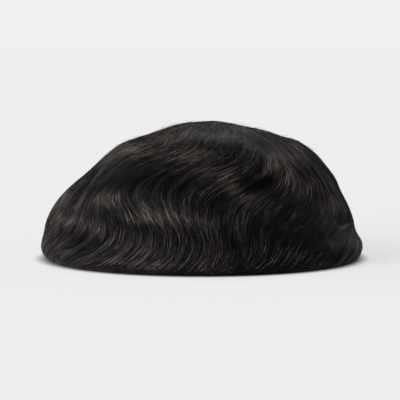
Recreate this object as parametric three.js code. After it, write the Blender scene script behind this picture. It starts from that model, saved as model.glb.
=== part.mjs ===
// A toupee hairpiece standing on its own tips: a thin base cap, and over it a hollow dome of
// wavy hair whose locks are fused side by side. Millimetres, +Z up, front hairline toward -X.
// The origin is the middle of the footprint, on the surface that the tips stand on.
import * as THREE from 'three';

// Base cap
const BASE_LENGTH = 196; // chord, front to back
const BASE_WIDTH = 140; // chord, side to side
const BASE_RISE = 72; // edge to top
const BASE_LIFT = 20; // edge above the surface that the hair stands on
const BASE_WALL = 1.5;
const BASE_FULLNESS = 2.3; // 2 is an ellipse, more is squarer

// Hair
const HAIR_END_THICKNESS = 37; // beyond the cap at the front and the back
const HAIR_SIDE_THICKNESS = 34; // beyond the cap at each side
const HAIR_TOP_THICKNESS = 22; // above the cap
const HAIR_FULLNESS = 2.15; // of the footprint, as for the cap
const CROWN_BACK = 10; // crown behind the middle
const SEAT_GAP = 0.3; // hair to cap
const SOLE_INSET = 4; // from the rolled tips to the flat that they rest on
const SOLE_WIDTH = 8; // of that flat
const SWELL_DEPTH = 3.6; // how far the hair sinks from the crest of a wave to its trough
const CREST_SHARPNESS = 2; // 1 is as round on the crest as in the trough, more is narrower on the crest
const FOLD_DEPTH = 3; // of the deepest fold between two masses of hair
const FOLD_WIDTH = 6; // from that fold's middle to where it has nearly run out

// Locks
const LOCK_COUNT = 48;
const LOCK_DEPTH = 2.4; // of the groove between two locks of even width
const LOCK_SECTION = [1, 0, 0.35]; // share of that depth at each column across a lock
const LOCK_UNEVENNESS = 0.4; // share by which one groove is deeper than the next
const LOCK_SPREAD = { least: 0.45, most: 1.5 }; // limits to how far a lock's width changes its groove
const LOCK_RHYTHM = 2.4; // radians from one lock to the next, in that unevenness
const CROWN_LOCKS_REACH = 0.35; // share of the way down where the grooves have their full depth
const TIP_DEPTH = 0.3; // share of a groove's depth that is left at the tips
const RIM_FADE = { from: 0.84, to: 0.94 }; // shares of the way down where swells and folds run out

// Facets
const RING_COUNT = 28;
const RING_CROWDING = 1.2; // over 1 brings the rings closer together toward the tips
const COARSE_RINGS = 4; // rings round the crown with one column to a lock
const START_SHARE = 0.75; // share of the way down where the locks are set out
const START_PROBES = 180; // strands tried there, to see where they fan out
const PATH_STEP = 0.01; // share of the way down, for following a strand
const CAP_COLUMNS = 48;
const CAP_RINGS = 9;

const HAIR_LENGTH = BASE_LENGTH + 2 * HAIR_END_THICKNESS;
const HAIR_WIDTH = BASE_WIDTH + 2 * HAIR_SIDE_THICKNESS;
const HAIR_HEIGHT = BASE_LIFT + BASE_RISE + HAIR_TOP_THICKNESS;
const DEGREE = Math.PI / 180;

// Each row's values under the names of the table's columns.
function table(columns, rows) {
  return rows.map((row) => Object.fromEntries(row.map((value, i) => [columns[i], value])));
}

// The dome's outline: how far out the hair reaches at each rise, as shares of the reach
// from the crown and of the height.
const PROFILE = table(['rise', 'front', 'side', 'back'], [
  [1.0, 0.0, 0.0, 0.0],
  [0.985, 0.15, 0.17, 0.11],
  [0.95, 0.31, 0.31, 0.385],
  [0.9, 0.465, 0.455, 0.535],
  [0.85, 0.56, 0.555, 0.62],
  [0.78, 0.63, 0.66, 0.695],
  [0.7, 0.69, 0.745, 0.75],
  [0.6, 0.76, 0.825, 0.81],
  [0.5, 0.845, 0.885, 0.845],
  [0.4, 0.92, 0.93, 0.895],
  [0.3, 0.97, 0.965, 0.95],
  [0.2, 0.995, 0.985, 0.98],
  [0.12, 1.0, 0.995, 1.0],
  [0.06, 0.99, 1.0, 0.99],
  [0.02, 0.965, 0.98, 0.97],
  [0.0, 0.91, 0.93, 0.925],
]);

// The wave: how far down the strands turn at each azimuth, as shares of the way from crown to
// tips. At p they lean most toward the front, and at m most toward the back.
const TURNS = table(['azimuth', 'p0', 'm0', 'p1', 'm1', 'p2'], [
  [0, -0.08, 0.1, 0.34, 0.65, 1.06],
  [35, -0.05, 0.11, 0.43, 0.7, 0.94],
  [60, -0.01, 0.15, 0.47, 0.67, 1.03],
  [80, 0.08, 0.24, 0.43, 0.72, 1.07],
  [95, 0.12, 0.29, 0.45, 0.81, 1.04],
  [108, 0.13, 0.29, 0.55, 0.83, 1.01],
  [120, 0.16, 0.41, 0.69, 0.87, 1.03],
  [132, 0.18, 0.54, 0.75, 0.91, 1.07],
  [144, 0.2, 0.61, 0.79, 0.96, 1.12],
  [160, 0.23, 0.7, 0.87, 1.04, 1.2],
  [180, 0.25, 0.7, 0.9, 1.08, 1.24],
  [210, 0.25, 0.65, 0.9, 1.1, 1.26],
  [240, 0.15, 0.5, 0.78, 1.02, 1.2],
  [270, -0.02, 0.32, 0.62, 0.88, 1.08],
  [300, -0.12, 0.16, 0.5, 0.8, 1.02],
  [330, -0.12, 0.1, 0.4, 0.72, 1.02],
]);

// How the strands lean from the straight way down at each of those turns, as a slope.
const LEANS = table(['azimuth', 'p0', 'm0', 'p1', 'm1', 'p2'], [
  [0, -0.25, 0.1, -0.3, 0.45, -1.3],
  [35, -0.35, 0.1, -0.75, 0.3, -2.1],
  [60, -0.45, 0.25, -1.2, 0.9, -2.2],
  [80, -0.6, 0.0, -1.15, 0.6, -2.1],
  [95, -0.7, -0.3, -1.8, 0.25, -2.1],
  [108, -0.6, -0.4, -2.0, 0.0, -2.1],
  [120, -0.55, -0.4, -1.85, -0.7, -2.1],
  [132, -0.55, 0.05, -1.8, -0.95, -1.9],
  [144, -0.6, 0.1, -1.9, -1.0, -1.7],
  [160, -0.65, 0.3, -1.8, -0.9, -1.4],
  [180, -0.55, 0.35, -1.3, -0.5, -1.1],
  [210, -0.4, 0.5, -0.7, 0.2, -0.7],
  [240, -0.5, 0.6, -0.5, 0.6, -0.5],
  [270, -0.6, 0.7, -0.6, 0.7, -0.6],
  [300, -0.6, 0.7, -0.6, 0.7, -0.7],
  [330, -0.4, 0.4, -0.5, 0.6, -0.9],
]);
const TURN_NAMES = ['p0', 'm0', 'p1', 'm1', 'p2'];
const CROWN_CALM = 0.3; // share of the way down where the strands have their full lean

// Folds between the larger masses of hair: from one place to the next, by azimuth and share
// of the way down, with depth and width as shares of the deepest fold's.
const FOLDS = table(['azimuthA', 'downA', 'azimuthB', 'downB', 'depth', 'width'], [
  [16, 0.51, 30, 0.68, 1.0, 1.0], // outer lobe at the front, off the main mass
  [8, 0.72, 33, 0.735, 0.9, 1.0], // hollow across that lobe
  [127, 0.32, 116, 0.48, 0.85, 1.0], // edge of the upper mass behind the crown
  [123, 0.54, 107, 0.58, 0.95, 1.0], // where the upper mass laps over the lower
  [107, 0.58, 97, 0.63, 0.8, 1.0],
  [160, 0.79, 143, 0.84, 0.8, 1.0], // curl at the lower back
  [143, 0.84, 145, 0.95, 0.75, 1.0],
  [101, 0.87, 101, 0.97, 0.65, 0.65], // slit between two locks near the tips
  [150, 0.27, 200, 0.3, 0.45, 1.4], // dip in the top line
  [222, 0.45, 262, 0.6, 0.85, 1.15], // far side
  [300, 0.55, 330, 0.66, 0.85, 1.15],
]);

function smooth(low, high, value) {
  const t = THREE.MathUtils.clamp((value - low) / (high - low), 0, 1);
  return t * t * (3 - 2 * t);
}

// A circle's sine or cosine, pushed outward so that the oval that it draws is fuller.
function fuller(value, fullness) {
  return Math.sign(value) * Math.abs(value) ** (2 / fullness);
}

const meridians = Object.fromEntries(['front', 'side', 'back'].map((side) => {
  const reach = { front: HAIR_LENGTH / 2 + CROWN_BACK, side: HAIR_WIDTH / 2, back: HAIR_LENGTH / 2 - CROWN_BACK }[side];
  const points = PROFILE.map((row) => new THREE.Vector2(row[side] * reach, row.rise * HAIR_HEIGHT));
  return [side, { reach, curve: new THREE.SplineCurve(points) }];
}));

// The smooth dome, at an azimuth counted from the front and a share of the way down.
function domePoint(azimuth, down) {
  const cosine = Math.cos(azimuth);
  const lengthwise = cosine * cosine;
  let out = 0;
  let rise = 0;
  for (const [side, weight] of [[cosine > 0 ? 'front' : 'back', lengthwise], ['side', 1 - lengthwise]]) {
    const { reach, curve } = meridians[side];
    const point = curve.getPointAt(THREE.MathUtils.clamp(down, 0, 1));
    out += (weight * point.x) / reach;
    rise += weight * point.y;
  }
  const edgeX = (-HAIR_LENGTH / 2) * fuller(cosine, HAIR_FULLNESS);
  const edgeY = (-HAIR_WIDTH / 2) * fuller(Math.sin(azimuth), HAIR_FULLNESS);
  return new THREE.Vector3(CROWN_BACK + (edgeX - CROWN_BACK) * out, edgeY * out, rise);
}

// How the dome runs at a place: millimetres for each radian round it, and for each share down.
function domeFrame(azimuth, down) {
  const step = 1e-3;
  const low = Math.max(down - step, 0);
  const high = Math.min(down + step, 1);
  const round = domePoint(azimuth + step, down).sub(domePoint(azimuth - step, down)).divideScalar(2 * step);
  const along = domePoint(azimuth, high).sub(domePoint(azimuth, low)).divideScalar(high - low);
  return { round, along, normal: along.clone().cross(round).normalize() };
}

// A table's values between its rows, as one smooth round.
function roundTable(rows, azimuth) {
  const turn = 360;
  const degrees = THREE.MathUtils.euclideanModulo(azimuth / DEGREE, turn);
  const k = rows.findLastIndex((row) => row.azimuth <= degrees);
  const near = [-1, 0, 1, 2].map((offset) => {
    const row = rows[THREE.MathUtils.euclideanModulo(k + offset, rows.length)];
    return { row, at: row.azimuth + turn * Math.floor((k + offset) / rows.length) };
  });
  const span = near[2].at - near[1].at;
  const t = (degrees - near[1].at) / span;
  return TURN_NAMES.map((name) => {
    const [a, b, c, d] = near.map(({ row }) => row[name]);
    const slopeIn = ((c - a) / (near[2].at - near[0].at)) * span;
    const slopeOut = ((d - b) / (near[3].at - near[1].at)) * span;
    return (2 * t ** 3 - 3 * t ** 2 + 1) * b + (t ** 3 - 2 * t ** 2 + t) * slopeIn
      + (-2 * t ** 3 + 3 * t ** 2) * c + (t ** 3 - t ** 2) * slopeOut;
  });
}

// The turn above a place, and the share of the way from it to the next.
function betweenTurns(azimuth, down) {
  const turns = roundTable(TURNS, azimuth);
  let k = 0;
  while (k < turns.length - 2 && down > turns[k + 1]) {
    k += 1;
  }
  return { k, part: THREE.MathUtils.clamp((down - turns[k]) / (turns[k + 1] - turns[k]), 0, 1) };
}

// 1 where strands lean most toward the back, which is the wave's crest, and -1 in its troughs.
function waveCrest(azimuth, down) {
  const { k, part } = betweenTurns(azimuth, down);
  return -Math.cos(Math.PI * (k + part));
}

// How strands lean from the straight way down, as a slope toward the back.
function waveLean(azimuth, down) {
  const { k, part } = betweenTurns(azimuth, down);
  const leans = roundTable(LEANS, azimuth);
  return leans[k] + ((leans[k + 1] - leans[k]) * (1 - Math.cos(Math.PI * part))) / 2;
}

// Radians that a strand moves round the dome for each share that it goes down.
function strandTurn(azimuth, down) {
  const { round, along } = domeFrame(azimuth, down);
  return (smooth(0, CROWN_CALM, down) * waveLean(azimuth, down) * along.length()) / round.length();
}

// The azimuth of a strand at each ring, followed both ways from where the locks are set out.
function strandPath(azimuth, shares) {
  const path = [];
  for (const way of [-1, 1]) {
    const ahead = shares.map((share, k) => k).filter((k) => way * (shares[k] - START_SHARE) > 0);
    let turned = azimuth;
    let down = START_SHARE;
    for (const k of way > 0 ? ahead : ahead.reverse()) {
      const steps = Math.max(1, Math.ceil(Math.abs(shares[k] - down) / PATH_STEP));
      const step = (shares[k] - down) / steps;
      for (let i = 0; i < steps; i += 1) {
        const half = turned + (strandTurn(turned, down) * step) / 2;
        turned += strandTurn(half, down + step / 2) * step;
        down += step;
      }
      path[k] = turned;
    }
  }
  return path;
}

// Where each column starts: closer together where strands fan out above or below, so that the
// locks stay about as wide as each other.
function startPlaces(columns, shares) {
  const even = (2 * Math.PI) / START_PROBES;
  const probes = Array.from({ length: START_PROBES }, (_, i) => strandPath(i * even, shares));
  const fans = probes.map((path, i) => {
    const next = probes[(i + 1) % START_PROBES];
    const whole = i + 1 < START_PROBES ? 0 : 2 * Math.PI;
    const gaps = shares.map((_, k) => (next[k] + whole - path[k]) / even);
    return Math.sqrt(gaps.reduce((sum, gap) => sum + gap ** 2, 0) / gaps.length);
  });
  const total = fans.reduce((sum, fan) => sum + fan, 0);
  const places = [];
  let passed = 0;
  fans.forEach((fan, i) => {
    while (places.length < columns && (places.length * total) / columns < passed + fan) {
      places.push((i + ((places.length * total) / columns - passed) / fan) * even);
    }
    passed += fan;
  });
  return places;
}

// How deep the folds are at a place, in millimetres.
function foldDepth(azimuth, down) {
  const { round, along } = domeFrame(azimuth, down);
  const across = round.length() * DEGREE;
  const downward = along.length();
  const turn = 360;
  const degrees = THREE.MathUtils.euclideanModulo(azimuth / DEGREE, turn);
  return Math.max(...FOLDS.map((fold) => {
    const runX = (fold.azimuthB - fold.azimuthA) * across;
    const runY = (fold.downB - fold.downA) * downward;
    const x = (degrees - fold.azimuthA) * across;
    const y = (down - fold.downA) * downward;
    const t = THREE.MathUtils.clamp((x * runX + y * runY) / (runX ** 2 + runY ** 2), 0, 1);
    const distance = Math.hypot(x - t * runX, y - t * runY);
    return FOLD_DEPTH * fold.depth * Math.exp(-((distance / (FOLD_WIDTH * fold.width)) ** 2));
  }));
}

// The hair's outer face at a column: the dome, cut back by grooves, folds and the wave's troughs.
// Spread is the locks' width there against their even width.
function hairPoint(column, azimuth, down, spread) {
  const lock = Math.floor(column / LOCK_SECTION.length);
  const uneven = 1 + LOCK_UNEVENNESS * Math.sin(LOCK_RHYTHM * lock);
  const fullDepth = LOCK_DEPTH * THREE.MathUtils.clamp(spread, LOCK_SPREAD.least, LOCK_SPREAD.most);
  const section = LOCK_SECTION[column % LOCK_SECTION.length];
  const runOut = 1 - (1 - TIP_DEPTH) * smooth(RIM_FADE.from, 1, down);
  const groove = fullDepth * section * uneven * smooth(0, CROWN_LOCKS_REACH, down) * runOut;
  const crest = ((1 + waveCrest(azimuth, down)) / 2) ** CREST_SHARPNESS;
  const trough = SWELL_DEPTH * (1 - crest) * smooth(0, CROWN_CALM, down);
  const above = 1 - smooth(RIM_FADE.from, RIM_FADE.to, down);
  const cut = groove + (trough + foldDepth(azimuth, down)) * above;
  return domePoint(azimuth, down).addScaledVector(domeFrame(azimuth, down).normal, -cut);
}

// A ring of the flat that the tips rest on.
function solePoint(azimuth, inset) {
  const tip = domePoint(azimuth, 1);
  const size = Math.hypot(tip.x, tip.y);
  return new THREE.Vector3(tip.x, tip.y, 0).multiplyScalar((size - inset) / size);
}

// The cap's outer face, or one set off from it: from its top (0) to its edge (1).
function capPoint(azimuth, down, offset) {
  const slope = (down * Math.PI) / 2;
  const out = fuller(Math.sin(slope), BASE_FULLNESS);
  return new THREE.Vector3(
    -(BASE_LENGTH / 2 + offset) * fuller(Math.cos(azimuth), BASE_FULLNESS) * out,
    -(BASE_WIDTH / 2 + offset) * fuller(Math.sin(azimuth), BASE_FULLNESS) * out,
    BASE_LIFT + (BASE_RISE + offset) * fuller(Math.cos(slope), BASE_FULLNESS),
  );
}

// A closed skin, built ring by ring from one pole to the other; rings run round by azimuth.
class Skin {
  positions = [];
  triangles = [];

  point(position) {
    this.positions.push(position.x, position.y, position.z);
    return this.positions.length / 3 - 1;
  }

  ring(azimuths, place) {
    return { azimuths, corners: azimuths.map((azimuth, i) => this.point(place(azimuth, i))) };
  }

  startAt(pole, ring) {
    const { corners } = ring;
    corners.forEach((corner, i) => this.triangles.push(corner, corners[(i + 1) % corners.length], pole));
  }

  endAt(ring, pole) {
    const { corners } = ring;
    corners.forEach((corner, i) => this.triangles.push(pole, corners[(i + 1) % corners.length], corner));
  }

  // Between two rings with the same columns.
  join(upper, lower) {
    const count = upper.corners.length;
    for (let i = 0; i < count; i += 1) {
      const next = (i + 1) % count;
      this.triangles.push(lower.corners[i], lower.corners[next], upper.corners[i]);
      this.triangles.push(lower.corners[next], upper.corners[next], upper.corners[i]);
    }
  }

  // Between two rings with columns of their own, by azimuth.
  lace(upper, lower) {
    const turn = 2 * Math.PI;
    const at = (ring, i) => {
      const count = ring.azimuths.length;
      return ring.azimuths[THREE.MathUtils.euclideanModulo(i, count)] + turn * Math.floor(i / count);
    };
    const corner = (ring, i) => ring.corners[THREE.MathUtils.euclideanModulo(i, ring.corners.length)];
    let first = 0;
    while (at(lower, first) < at(upper, 0)) {
      first += 1;
    }
    while (at(lower, first - 1) >= at(upper, 0)) {
      first -= 1;
    }
    let a = 0;
    let b = first;
    while (a < upper.corners.length || b < first + lower.corners.length) {
      const lowerIsNext = at(lower, b + 1) < at(upper, a + 1);
      if (b < first + lower.corners.length && (lowerIsNext || a === upper.corners.length)) {
        this.triangles.push(corner(lower, b), corner(lower, b + 1), corner(upper, a));
        b += 1;
      } else {
        this.triangles.push(corner(lower, b), corner(upper, a + 1), corner(upper, a));
        a += 1;
      }
    }
  }

  mesh(name, material) {
    const geometry = new THREE.BufferGeometry();
    geometry.setAttribute('position', new THREE.Float32BufferAttribute(this.positions, 3));
    geometry.setIndex(this.triangles);
    geometry.computeVertexNormals();
    const mesh = new THREE.Mesh(geometry, material);
    mesh.name = name;
    return mesh;
  }
}

const capAzimuths = Array.from({ length: CAP_COLUMNS }, (_, i) => (i * 2 * Math.PI) / CAP_COLUMNS);
const capShares = Array.from({ length: CAP_RINGS }, (_, i) => (i + 1) / CAP_RINGS);

function hair() {
  const skin = new Skin();
  const columns = LOCK_COUNT * LOCK_SECTION.length;
  const shares = Array.from({ length: RING_COUNT }, (_, i) => 1 - (1 - (i + 1) / RING_COUNT) ** RING_CROWDING);
  const paths = startPlaces(columns, shares).map((azimuth) => strandPath(azimuth, shares));

  const azimuthAt = (column, k) => paths[column][k];
  const outer = shares.map((down, k) => {
    const stride = k < COARSE_RINGS ? LOCK_SECTION.length : 1;
    const chosen = paths.map((_, i) => i).filter((i) => i % stride === 0);
    return skin.ring(chosen.map((i) => paths[i][k]), (azimuth, i) => {
      const before = i > 0 ? azimuthAt(chosen[i] - 1, k) : azimuthAt(columns - 1, k) - 2 * Math.PI;
      const after = chosen[i] < columns - 1 ? azimuthAt(chosen[i] + 1, k) : azimuthAt(0, k) + 2 * Math.PI;
      const spread = ((after - before) * columns) / (4 * Math.PI);
      return hairPoint(chosen[i], azimuth, down, spread);
    });
  });
  skin.startAt(skin.point(domePoint(0, 0)), outer[0]);
  for (let k = 1; k < outer.length; k += 1) {
    if (outer[k].corners.length === outer[k - 1].corners.length) {
      skin.join(outer[k - 1], outer[k]);
    } else {
      skin.lace(outer[k - 1], outer[k]);
    }
  }

  const soleOuter = skin.ring(outer.at(-1).azimuths, (azimuth) => solePoint(azimuth, SOLE_INSET));
  skin.join(outer.at(-1), soleOuter);
  const soleInner = skin.ring(capAzimuths, (azimuth) => solePoint(azimuth, SOLE_INSET + SOLE_WIDTH));
  skin.lace(soleOuter, soleInner);

  let above = soleInner;
  for (const share of capShares.toReversed()) {
    const ring = skin.ring(capAzimuths, (azimuth) => capPoint(azimuth, share, SEAT_GAP));
    skin.join(above, ring);
    above = ring;
  }
  skin.endAt(above, skin.point(capPoint(0, 0, SEAT_GAP)));
  return skin.mesh('hair', new THREE.MeshStandardMaterial({ color: 0x1d1917, roughness: 0.45, metalness: 0 }));
}

function baseCap() {
  const skin = new Skin();
  const outer = capShares.map((share) => skin.ring(capAzimuths, (azimuth) => capPoint(azimuth, share, 0)));
  const inner = capShares.map((share) => skin.ring(capAzimuths, (azimuth) => capPoint(azimuth, share, -BASE_WALL)));
  skin.startAt(skin.point(capPoint(0, 0, 0)), outer[0]);
  const rings = [...outer, ...inner.toReversed()];
  for (let k = 1; k < rings.length; k += 1) {
    skin.join(rings[k - 1], rings[k]);
  }
  skin.endAt(rings.at(-1), skin.point(capPoint(0, 0, -BASE_WALL)));
  return skin.mesh('base_cap', new THREE.MeshStandardMaterial({ color: 0x3a302b, roughness: 0.85, metalness: 0 }));
}

const toupee = new THREE.Group();
toupee.add(baseCap());
toupee.add(hair());

export default toupee;
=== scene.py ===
"""The toupee's looks: a combed undercoat with strands lying on it, over the CAD's base cap."""

import math

import bpy
import numpy as np
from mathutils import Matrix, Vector


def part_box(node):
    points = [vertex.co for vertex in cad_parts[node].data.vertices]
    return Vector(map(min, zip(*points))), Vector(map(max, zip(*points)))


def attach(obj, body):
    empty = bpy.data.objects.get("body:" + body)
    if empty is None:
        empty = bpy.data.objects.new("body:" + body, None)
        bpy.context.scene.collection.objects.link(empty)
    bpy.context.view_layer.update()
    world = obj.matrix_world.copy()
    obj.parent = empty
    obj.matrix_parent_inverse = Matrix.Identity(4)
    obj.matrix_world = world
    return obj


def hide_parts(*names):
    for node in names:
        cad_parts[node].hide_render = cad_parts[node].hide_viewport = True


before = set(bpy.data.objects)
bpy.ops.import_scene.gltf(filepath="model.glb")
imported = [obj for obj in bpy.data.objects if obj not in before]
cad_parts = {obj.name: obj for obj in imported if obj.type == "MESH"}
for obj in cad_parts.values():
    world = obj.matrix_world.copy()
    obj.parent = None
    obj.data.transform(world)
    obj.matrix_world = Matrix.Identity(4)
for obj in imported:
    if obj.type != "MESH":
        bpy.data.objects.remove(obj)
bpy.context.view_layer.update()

MM = 0.001
TURN = 2 * math.pi
random = np.random.default_rng(7)

# The cap's sizes in millimetres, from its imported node
cap_low, cap_high = (np.array(corner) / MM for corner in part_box("base_cap"))
CAP_LENGTH, CAP_WIDTH, CAP_RISE = cap_high - cap_low
CAP_LIFT = cap_low[2]

# The hair in millimetres, and what its dome is made from, as in part.mjs
HAIR_END_THICKNESS = 37  # beyond the cap at the front and the back
HAIR_SIDE_THICKNESS = 34
HAIR_TOP_THICKNESS = 22
HAIR_LENGTH = CAP_LENGTH + 2 * HAIR_END_THICKNESS
HAIR_WIDTH = CAP_WIDTH + 2 * HAIR_SIDE_THICKNESS
HAIR_HEIGHT = CAP_LIFT + CAP_RISE + HAIR_TOP_THICKNESS
HAIR_FULLNESS = 2.15  # of the footprint: 2 is an ellipse, more is squarer
CAP_FULLNESS = 2.3
CROWN_BACK = 10  # crown behind the middle
SEAT_GAP = 0.3  # hair to cap
SOLE_INSET = 4  # from the rolled tips to the flat that they rest on
SOLE_WIDTH = 8
SWELL_DEPTH = 3.6  # from the crest of a wave to its trough
CREST_SHARPNESS = 2  # more is narrower on the crest
FOLD_DEPTH = 3
FOLD_WIDTH = 6
LOCK_COUNT = 48
LOCK_DEPTH = 2.4
LOCK_SECTION = [1, 0, 0.35]  # shares of that depth across a lock
LOCK_UNEVENNESS = 0.4
LOCK_SPREAD = (0.45, 1.5)  # limits to how far a lock's width changes its groove
LOCK_RHYTHM = 2.4  # radians from one lock to the next, in that unevenness
TIP_DEPTH = 0.3  # share of a groove's depth that is left at the tips

# Shares of the way down, as in part.mjs
START_SHARE = 0.75  # where the locks are set out
CROWN_CALM = 0.3  # where the strands have their full lean
CROWN_LOCKS_REACH = 0.35  # where the grooves have their full depth
RIM_FADE = (0.84, 0.94)  # where swells and folds run out

# rise, front, side, back
PROFILE = np.array([
    [1.0, 0.0, 0.0, 0.0],
    [0.985, 0.15, 0.17, 0.11],
    [0.95, 0.31, 0.31, 0.385],
    [0.9, 0.465, 0.455, 0.535],
    [0.85, 0.56, 0.555, 0.62],
    [0.78, 0.63, 0.66, 0.695],
    [0.7, 0.69, 0.745, 0.75],
    [0.6, 0.76, 0.825, 0.81],
    [0.5, 0.845, 0.885, 0.845],
    [0.4, 0.92, 0.93, 0.895],
    [0.3, 0.97, 0.965, 0.95],
    [0.2, 0.995, 0.985, 0.98],
    [0.12, 1.0, 0.995, 1.0],
    [0.06, 0.99, 1.0, 0.99],
    [0.02, 0.965, 0.98, 0.97],
    [0.0, 0.91, 0.93, 0.925],
])

# azimuth, then how far down the strands turn: at p they lean most toward the front, at m toward the back
TURNS = np.array([
    [0, -0.08, 0.1, 0.34, 0.65, 1.06],
    [35, -0.05, 0.11, 0.43, 0.7, 0.94],
    [60, -0.01, 0.15, 0.47, 0.67, 1.03],
    [80, 0.08, 0.24, 0.43, 0.72, 1.07],
    [95, 0.12, 0.29, 0.45, 0.81, 1.04],
    [108, 0.13, 0.29, 0.55, 0.83, 1.01],
    [120, 0.16, 0.41, 0.69, 0.87, 1.03],
    [132, 0.18, 0.54, 0.75, 0.91, 1.07],
    [144, 0.2, 0.61, 0.79, 0.96, 1.12],
    [160, 0.23, 0.7, 0.87, 1.04, 1.2],
    [180, 0.25, 0.7, 0.9, 1.08, 1.24],
    [210, 0.25, 0.65, 0.9, 1.1, 1.26],
    [240, 0.15, 0.5, 0.78, 1.02, 1.2],
    [270, -0.02, 0.32, 0.62, 0.88, 1.08],
    [300, -0.12, 0.16, 0.5, 0.8, 1.02],
    [330, -0.12, 0.1, 0.4, 0.72, 1.02],
])

# azimuth, then the lean at each of those turns, as a slope off the straight way down
LEANS = np.array([
    [0, -0.25, 0.1, -0.3, 0.45, -1.3],
    [35, -0.35, 0.1, -0.75, 0.3, -2.1],
    [60, -0.45, 0.25, -1.2, 0.9, -2.2],
    [80, -0.6, 0.0, -1.15, 0.6, -2.1],
    [95, -0.7, -0.3, -1.8, 0.25, -2.1],
    [108, -0.6, -0.4, -2.0, 0.0, -2.1],
    [120, -0.55, -0.4, -1.85, -0.7, -2.1],
    [132, -0.55, 0.05, -1.8, -0.95, -1.9],
    [144, -0.6, 0.1, -1.9, -1.0, -1.7],
    [160, -0.65, 0.3, -1.8, -0.9, -1.4],
    [180, -0.55, 0.35, -1.3, -0.5, -1.1],
    [210, -0.4, 0.5, -0.7, 0.2, -0.7],
    [240, -0.5, 0.6, -0.5, 0.6, -0.5],
    [270, -0.6, 0.7, -0.6, 0.7, -0.6],
    [300, -0.6, 0.7, -0.6, 0.7, -0.7],
    [330, -0.4, 0.4, -0.5, 0.6, -0.9],
])
WAVE = np.hstack([TURNS, LEANS[:, 1:]])

# azimuth and share down at each end, then depth and width as shares of the deepest fold's
FOLDS = np.array([
    [16, 0.51, 30, 0.68, 1.0, 1.0],
    [8, 0.72, 33, 0.735, 0.9, 1.0],
    [127, 0.32, 116, 0.48, 0.85, 1.0],
    [123, 0.54, 107, 0.58, 0.95, 1.0],
    [107, 0.58, 97, 0.63, 0.8, 1.0],
    [160, 0.79, 143, 0.84, 0.8, 1.0],
    [143, 0.84, 145, 0.95, 0.75, 1.0],
    [101, 0.87, 101, 0.97, 0.65, 0.65],
    [150, 0.27, 200, 0.3, 0.45, 1.4],
    [222, 0.45, 262, 0.6, 0.85, 1.15],
    [300, 0.55, 330, 0.66, 0.85, 1.15],
])

# Paler and darker parts of the hair, partly its own tone and partly painted highlights and painted shade:
# azimuth, share down, how far each reaches, and the tone that it adds
TONE_AND_PAINTED_LIGHT = np.array([
    [20, 0.18, 25, 0.06, 0.25],
    [56, 0.265, 13, 0.045, 0.5],
    [94, 0.23, 12, 0.05, -0.35],
    [114, 0.31, 28, 0.05, -0.45],
    [34, 0.37, 24, 0.06, 0.4],
    [82, 0.38, 10, 0.04, 0.45],
    [132, 0.43, 9, 0.04, 0.15],
    [91, 0.47, 8, 0.04, 0.25],
    [41, 0.52, 12, 0.045, -0.65],
    [67, 0.58, 20, 0.07, -0.35],
    [37, 0.63, 7, 0.05, -0.3],
    [49, 0.65, 6, 0.045, 0.4],
    [28, 0.715, 7, 0.02, -0.3],
    [51, 0.715, 12, 0.035, -0.55],
    [30, 0.765, 12, 0.02, 0.3],
    [72, 0.72, 16, 0.024, 0.42],
    [90, 0.68, 7, 0.04, -0.25],
    [97, 0.535, 5, 0.045, 0.3],
    [102, 0.585, 6, 0.035, 0.45],
    [112, 0.56, 6, 0.05, -0.25],
    [121, 0.48, 7, 0.07, 0.45],
    [127, 0.56, 5, 0.03, 0.3],
    [144, 0.55, 9, 0.04, -0.35],
    [107, 0.62, 5, 0.03, 0.25],
    [135, 0.62, 8, 0.03, 0.35],
    [151, 0.705, 9, 0.03, 0.9],
    [160, 0.79, 10, 0.04, 0.35],
    [68, 0.765, 12, 0.022, -0.3],
    [49, 0.8, 8, 0.035, 0.35],
    [69, 0.85, 8, 0.05, 0.15],
    [57, 0.88, 6, 0.04, -0.2],
    [62, 0.94, 25, 0.03, 0.22],
    [112, 0.8, 32, 0.08, -0.3],
    [18, 0.72, 18, 0.2, 0.1],
    [42, 0.86, 8, 0.05, -0.35],
    [40, 0.5, 10, 0.03, -0.15],
    [148, 0.86, 14, 0.08, -0.6],
])

# Wisps that lie across the rest: azimuth and share down where each starts, bends and ends, then its
# width in millimetres and its tone
LOOSE = np.array([
    [176, 0.81, 150, 0.775, 138, 0.87, 2.2, 0.3],
    [158, 0.79, 143, 0.8, 136, 0.91, 1.6, 0.2],
    [44, 0.905, 33, 0.88, 25, 0.95, 2.0, 0.25],
    [36, 0.9, 29, 0.895, 24, 0.96, 1.4, 0.2],
    [131, 0.655, 126, 0.71, 120, 0.765, 0.8, 0.45],
    [129, 0.76, 125, 0.775, 120, 0.805, 2.0, 0.4],
])
STRANDS_IN_LOOSE = 60

# The grid that the dome's fields are kept on
GRID_ROUND = 720
GRID_DOWN = 240
MERIDIAN_STEPS = 24  # between two rows of PROFILE
PROBE_STEP = 8  # rings from one to the next where the strands' fanning out is measured
FAN_LIMITS = (0.05, 20)

# Grooves come and go along the locks, between these shares of their depth
GROOVE_SHARE = (0.15, 0.8)
GROOVE_KNOTS = 7

# The undercoat: its grid, its streaks in millimetres, and its tones
COAT_COLUMNS = 400
COAT_RINGS = 110
COAT_CROWDING = 1.1  # over 1 brings the rings closer together toward the tips
COAT_PATH_STEPS = 60
COAT_STREAK_KNOTS = 14  # down each column
COAT_STREAK = 0.45
COAT_SINK = 0.5
COAT_FADE = (0.2, 0.95)  # shares of the way down between which the streaks have their full depth
FINE_STREAK = 0.5
BROAD_STREAK = 0.7
CAP_RINGS = 7
CAP_LAST_RING = 0.02
COAT_TONE = 0.03
COAT_TONE_STREAK = 0.07
INSIDE_TONE = 0.05

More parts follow.
